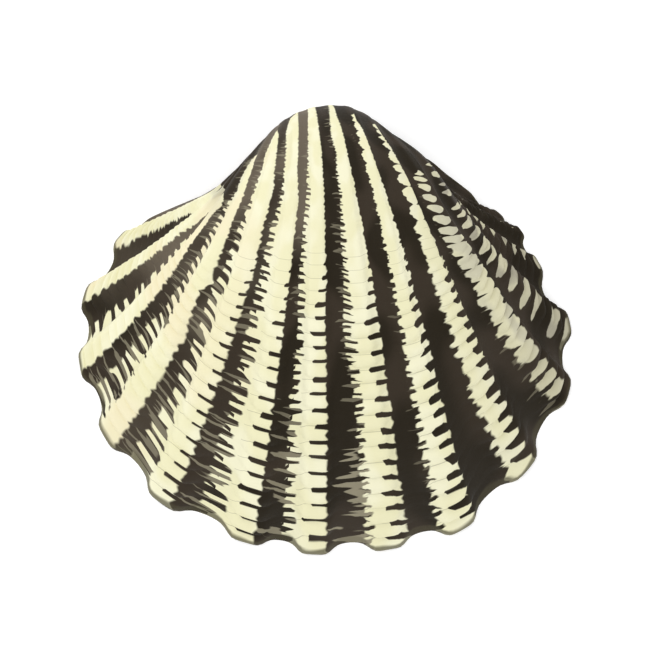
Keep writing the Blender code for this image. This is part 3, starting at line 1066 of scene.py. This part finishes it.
def groove_painted_shade(wiring, over, even_steps, groove, rag):
    """Painted shade of the grooves, with teeth reaching onto the next rib, and half-shade streaks."""
    slanted = even_steps - over * wiring.number("teeth_slant")
    teeth_along = slanted * wiring.number("teeth_per_step")
    depth = over * 1.2
    uneven = wiring.noise(teeth_along * 0.9, groove * 7.3, depth)
    wave = wiring.math("SINE", (teeth_along + uneven * TEETH_UNEVENNESS) * (2.0 * math.pi))
    length = wiring.noise(teeth_along * 1.7, groove * 5.9, 7.0)
    length = wiring.math("MINIMUM", length * 1.6 + 0.1, 1.0)
    tooth = wiring.ramp(wave, -0.35, 0.25) * length
    solid_to = wiring.number("groove_solid_to")
    teeth_room = wiring.number("groove_to") - solid_to
    dark_to = solid_to + teeth_room * tooth + rag * LIMITS_RAG
    dark_from = wiring.number("groove_from") + rag * LIMITS_RAG
    inside = below(wiring, dark_from, over) * below(wiring, over, dark_to)
    streaks = wiring.number("streaks")
    streaky = wiring.noise(slanted * STREAKS_PER_STEP, groove * 3.7, depth) + streaks * 0.15
    begins = wiring.noise(slanted * STREAKS_PER_STEP, groove * 6.1, 3.0)
    before_teeth = over - solid_to + begins * 0.8 + (streaks - 0.6) * 0.4
    streak = wiring.ramp(streaky, 0.62, 0.67) * streaks
    return inside, streak * wiring.ramp(before_teeth, 0.28, 0.32)


def tick_painted_shade(wiring, station, steps, rag):
    """Thin ticks of painted shade in the valleys between knobs, on the side of a rib by the groove."""
    do = wiring.math
    shifted = station + (TICKS_START - 0.5)
    groove = do("FLOOR", shifted)
    over = do("FRACT", shifted) - TICKS_START
    slanted = steps - over * wiring.number("tick_slant")
    wobble = wiring.noise(slanted * 0.8, groove * 5.1, 2.0)
    slanted = slanted + (wobble - 0.5) * 0.5
    from_valley = abs(do("FRACT", slanted + 0.5) - 0.5)
    uneven = wiring.noise(slanted * 1.3, groove * 9.7, 5.0)
    ticks = wiring.number("ticks")
    start = wiring.number("tick_to") - ticks * (uneven * 1.3 + 0.35)
    on = wiring.ramp(over - start, 0.0, 0.04)
    half = (wiring.number("tick_half") + rag * LIMITS_RAG) * on
    dark = wiring.ramp(half - from_valley, -0.03, 0.03)
    return dark * (do("GREATER_THAN", ticks, 0.02) * do("LESS_THAN", over, 0.5))


def drop_gap_shade(wiring, across, even_steps, rib, rag):
    """Painted shade between the drops of cream on the back ribs."""
    off_middle = across - wiring.number("drop_middle")
    slanted = even_steps - off_middle * wiring.number("drop_slant")
    wobble = wiring.noise(slanted * 0.4, rib * 7.3, 4.0)
    slanted = slanted + (wobble - 0.5) * 1.6
    phase = wiring.math("FRACT", slanted * wiring.number("drops_per_step") + rib * 0.37)
    along = abs(phase - 0.5) / wiring.number("drop_length")
    aside = abs(off_middle) / wiring.number("drop_half")
    away = along ** DROP_POINTEDNESS + aside ** DROP_POINTEDNESS + rag * 0.7
    return wiring.ramp(away, 0.93, 1.07)


def cream_and_painted_shade(wiring, station, steps):
    """Cream of the ribs: paler and rosier patches, and duller with painted shade towards the back."""
    patch = wiring.noise(steps * 0.3, station * 1.5, 1.0, detail=1.0)
    cream = wiring.mix(wiring.ramp(patch, 0.42, 0.62), CREAM, PALE_CREAM)
    rosy = wiring.noise(steps * 0.12, station * 0.6, 6.0)
    front = wiring.ramp(station, 6.0, 3.0)
    cream = wiring.mix(wiring.ramp(rosy, 0.5, 0.6) * front, cream, ROSY_CREAM)
    deeper_shade = wiring.math("MAXIMUM", wiring.ramp(patch, 0.5, 0.62), wiring.number("rim_gaps") * 2.2)
    return wiring.mix(wiring.number("shade"), cream, wiring.mix(deeper_shade, SHADED_CREAM, DEEP_SHADED_CREAM))


def groove_shade_brown(wiring, station, steps):
    """Brown of the grooves' painted shade: nearly black in places, and lighter between some front ribs.
    """
    patch = wiring.noise(steps * 0.22, station * 1.1, 8.0)
    brown = wiring.mix(wiring.ramp(patch, 0.4, 0.6), DARK_BROWN, BLACK_BROWN)
    light = wiring.number("light_groove") + (patch - 0.5) * 0.8
    return wiring.mix(wiring.ramp(light, 0.2, 0.8), brown, MID_BROWN)


def make_outside():
    """Build the outside's material."""
    material, wiring, surface = new_material("chalky_outside", 0.6, 0.12)
    do = wiring.math
    station, v = read_growth_map(wiring)
    rib = do("FLOOR", station)
    across = do("FRACT", station) - 0.5
    from_crest = station - 0.5
    groove = do("FLOOR", from_crest)
    over = do("FRACT", from_crest)
    steps = (v - 0.5) * STEPS_PER_V
    sweep = wiring.ramp(steps, *MARKS_SWEEP_STEPS) * MARKS_SWEEP
    swept_steps = steps + sunk_share(wiring, over) * sweep
    even_steps = swept_steps + wiring.number("ahead")
    rag = wiring.noise(even_steps * 2.6, station * 3.0, 0.0) - 0.5
    grooves, streak = groove_painted_shade(wiring, over, even_steps, groove, rag)
    ticks = tick_painted_shade(wiring, station, swept_steps, rag)
    gaps = drop_gap_shade(wiring, across, even_steps, rib, rag)
    # Grooves, teeth, ticks and the gaps between drops are all painted shade; streaks are painted
    # half-shade.
    dark = do("MAXIMUM", grooves, do("MAXIMUM", ticks, gaps))
    brown = wiring.mix(streak * grooves, groove_shade_brown(wiring, station, steps), HALF_SHADE_OLIVE)
    base = wiring.mix(dark, cream_and_painted_shade(wiring, station, steps), brown)
    # Painted shade along the edge.
    edge_shade = wiring.ramp(steps + rag * 0.3, *EDGE_SHADE_STEPS) * (0.85 - dark * 0.45)
    wiring.feed(surface.inputs["Base Color"], wiring.mix(edge_shade, base, EDGE_SHADE_OLIVE))
    grain = wiring.add("ShaderNodeTexNoise", {"Scale": GRAIN_SCALE, "Detail": 3.0}, output="Fac")
    height = growth_lines(wiring, steps, station, 5.0, 0.4, "Height") + grain * 0.35
    bump = wiring.add("ShaderNodeBump", {"Strength": 0.35, "Distance": 0.00008, "Height": height})
    wiring.feed(surface.inputs["Normal"], bump)
    wiring.feed(surface.inputs["Roughness"], grain * 0.2 + 0.52)
    return material


# %% [markdown]
# ## The porcelain inside
# The inside is smooth and glazed. Where the two closing muscles held on, it is a little duller and
# darker, and a faint line joins them along the edge of the soft body.

# %% Inside material
SCARS = [(2.0, 27.0), (11.8, 27.0)]
SCAR_HALF_STATIONS = 1.1
SCAR_HALF_TURN = 8.5
BODY_LINE_TURN = 15.0
BODY_LINE_MIDDLE = 6.9
INSIDE_TURN_PER_V = HOLLOW_ENDS_AT / RIM_V
PORCELAIN = colour(241, 236, 222)
WARM_PORCELAIN = colour(226, 214, 188)
SCAR_COLOUR = colour(214, 203, 180)


def make_inside():
    """Build the inside's material."""
    material, wiring, surface = new_material("porcelain_inside", 0.25, 0.5)
    station, v = read_growth_map(wiring)
    place = station - 0.5
    inside_turn = (RIM_V - v) * INSIDE_TURN_PER_V
    line = wiring.ramp(abs(inside_turn - BODY_LINE_TURN), 0.9, 0.3)
    line = line * wiring.ramp(abs(place - BODY_LINE_MIDDLE), 5.0, 4.6) * 0.6
    scar = 0.0
    for middle, scar_turn in SCARS:
        round_shell = (place - middle) / SCAR_HALF_STATIONS
        up_shell = (inside_turn - scar_turn) / SCAR_HALF_TURN
        away = wiring.math("SQRT", round_shell ** 2.0 + up_shell ** 2.0)
        scar = wiring.ramp(away, 1.05, 0.92) + scar
    mark = wiring.math("MAXIMUM", scar, line)
    tone = growth_lines(wiring, inside_turn / STEP_TURN, station, 1.6, 0.6, "Tone")
    glaze = wiring.mix(tone * 0.45, PORCELAIN, WARM_PORCELAIN)
    wiring.feed(surface.inputs["Base Color"], wiring.mix(mark, glaze, SCAR_COLOUR))
    wiring.feed(surface.inputs["Roughness"], mark * 0.2 + 0.22)
    height = tone * 0.2 - mark
    bump = wiring.add("ShaderNodeBump", {"Strength": 0.4, "Distance": 0.0001, "Height": height})
    wiring.feed(surface.inputs["Normal"], bump)
    surface.inputs["Coat Weight"].default_value = 0.3
    return material


# %% Give the faces their materials
valve.data.materials.clear()
valve.data.materials.append(make_outside())
valve.data.materials.append(make_inside())
face_turns = np.zeros(len(valve.data.polygons))
for face in valve.data.polygons:
    face_turns[face.index] = turn[list(face.vertices)].mean()
valve.data.polygons.foreach_set("material_index", (face_turns < 0.0).astype(np.int32))
print("inside faces:", int((face_turns < 0.0).sum()))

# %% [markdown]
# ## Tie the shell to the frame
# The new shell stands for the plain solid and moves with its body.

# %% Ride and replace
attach(valve, "root")
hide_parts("valve")

# %% [markdown]
# ## Floor, light and camera
# The shell lies on a plain white floor under even light, with a soft key from the upper left. The
# camera looks straight down through a long lens, so that the outline is not bent by perspective.

# %% Stage
FLOOR_HALF = 0.6
FLOOR_WHITE = (0.92, 0.92, 0.92, 1.0)
FLOOR_GLOW = 0.3
WHITE_LIGHT = (1.0, 1.0, 1.0, 1.0)
EVEN_LIGHT_STRENGTH = 1.05
KEY_FROM = Vector((-0.55, 0.5, 1.0))
KEY_STRENGTH = 0.6
KEY_SPREAD = math.radians(35.0)
select_only()
bpy.ops.mesh.primitive_plane_add(size=2.0 * FLOOR_HALF, location=(0.0, 0.0, cad_low.z))
floor = bpy.context.object
floor.name = "floor"
floor_material, _, floor_surface = new_material("white_floor", 0.9, 0.0)
floor_surface.inputs["Base Color"].default_value = FLOOR_WHITE
floor_surface.inputs["Emission Color"].default_value = FLOOR_WHITE
floor_surface.inputs["Emission Strength"].default_value = FLOOR_GLOW
floor.data.materials.append(floor_material)

world = bpy.data.worlds.new("even_light")
world.use_nodes = True
background = world.node_tree.nodes["Background"]
background.inputs["Color"].default_value = WHITE_LIGHT
background.inputs["Strength"].default_value = EVEN_LIGHT_STRENGTH
bpy.context.scene.world = world

bpy.ops.object.light_add(type="SUN", location=KEY_FROM)
key = bpy.context.object
key.name = "key_light"
key.data.energy = KEY_STRENGTH
key.data.angle = KEY_SPREAD
key.rotation_euler = (-KEY_FROM).to_track_quat("-Z", "Y").to_euler()

# %% Camera
PICTURE_SIZE = 660
MM_PER_PIXEL = 0.08172
BEAK_PIXEL = (330.7, 155.7)
LENS = 600.0
SENSOR = 36.0
picture_width = PICTURE_SIZE * MM_PER_PIXEL * MM
camera_x = beak.x + (PICTURE_SIZE / 2 - BEAK_PIXEL[0]) * MM_PER_PIXEL * MM
camera_y = beak.y + (BEAK_PIXEL[1] - PICTURE_SIZE / 2) * MM_PER_PIXEL * MM
camera_height = picture_width * LENS / SENSOR
bpy.ops.object.camera_add(location=(camera_x, camera_y, camera_height), rotation=(0.0, 0.0, 0.0))
camera = bpy.context.object
camera.data.lens = LENS
camera.data.sensor_width = SENSOR
camera.data.clip_end = 4.0 * camera_height
bpy.context.scene.camera = camera
bpy.context.scene.view_settings.view_transform = "Standard"
print("camera height, mm:", round(camera_height / MM, 1))
